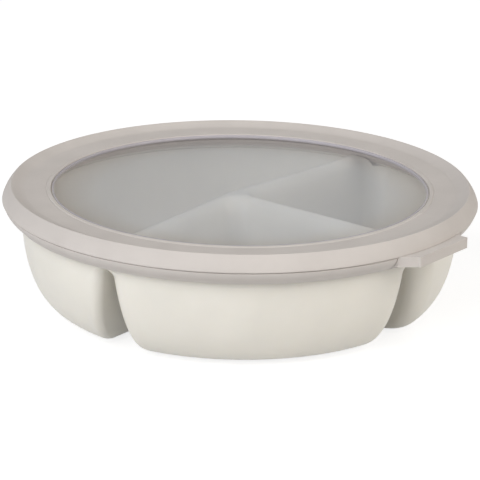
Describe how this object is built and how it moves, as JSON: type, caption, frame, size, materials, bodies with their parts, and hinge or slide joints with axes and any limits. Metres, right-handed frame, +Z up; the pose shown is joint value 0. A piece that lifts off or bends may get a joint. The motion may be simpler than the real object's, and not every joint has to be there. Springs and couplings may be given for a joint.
{
  "type": "bento bowl",
  "caption": "Round lidded food bowl divided into wells, with a soft-ringed lid that has a recessed translucent window and a pull tab for peeling it off.",
  "frame": {"origin": "on the bowl's axis, on the plane of the feet that it stands on", "axes": "+Z up along the bowl's axis; the pull tab and the divider between the two quarter wells point half way between +X and -Y"},
  "size_m": [0.206, 0.206, 0.0544],
  "materials": {
    "bowl": "satin off-white moulding",
    "lid_window": "milky translucent, fine matt underside",
    "lid_ring": "soft-touch matt greige",
    "lid_seal": "plain pale elastomer"
  },
  "bodies": {
    "bowl": {"bowl": "bowl"},
    "lid": {"lid_window": "lid_window", "lid_ring": "lid_ring", "lid_seal": "lid_seal"}
  },
  "joints": [
    {"name": "lid_lift", "type": "slide", "parent": "bowl", "child": "lid", "axis": [0, 0, 1], "range_m": [0, 0.12]}
  ]
}
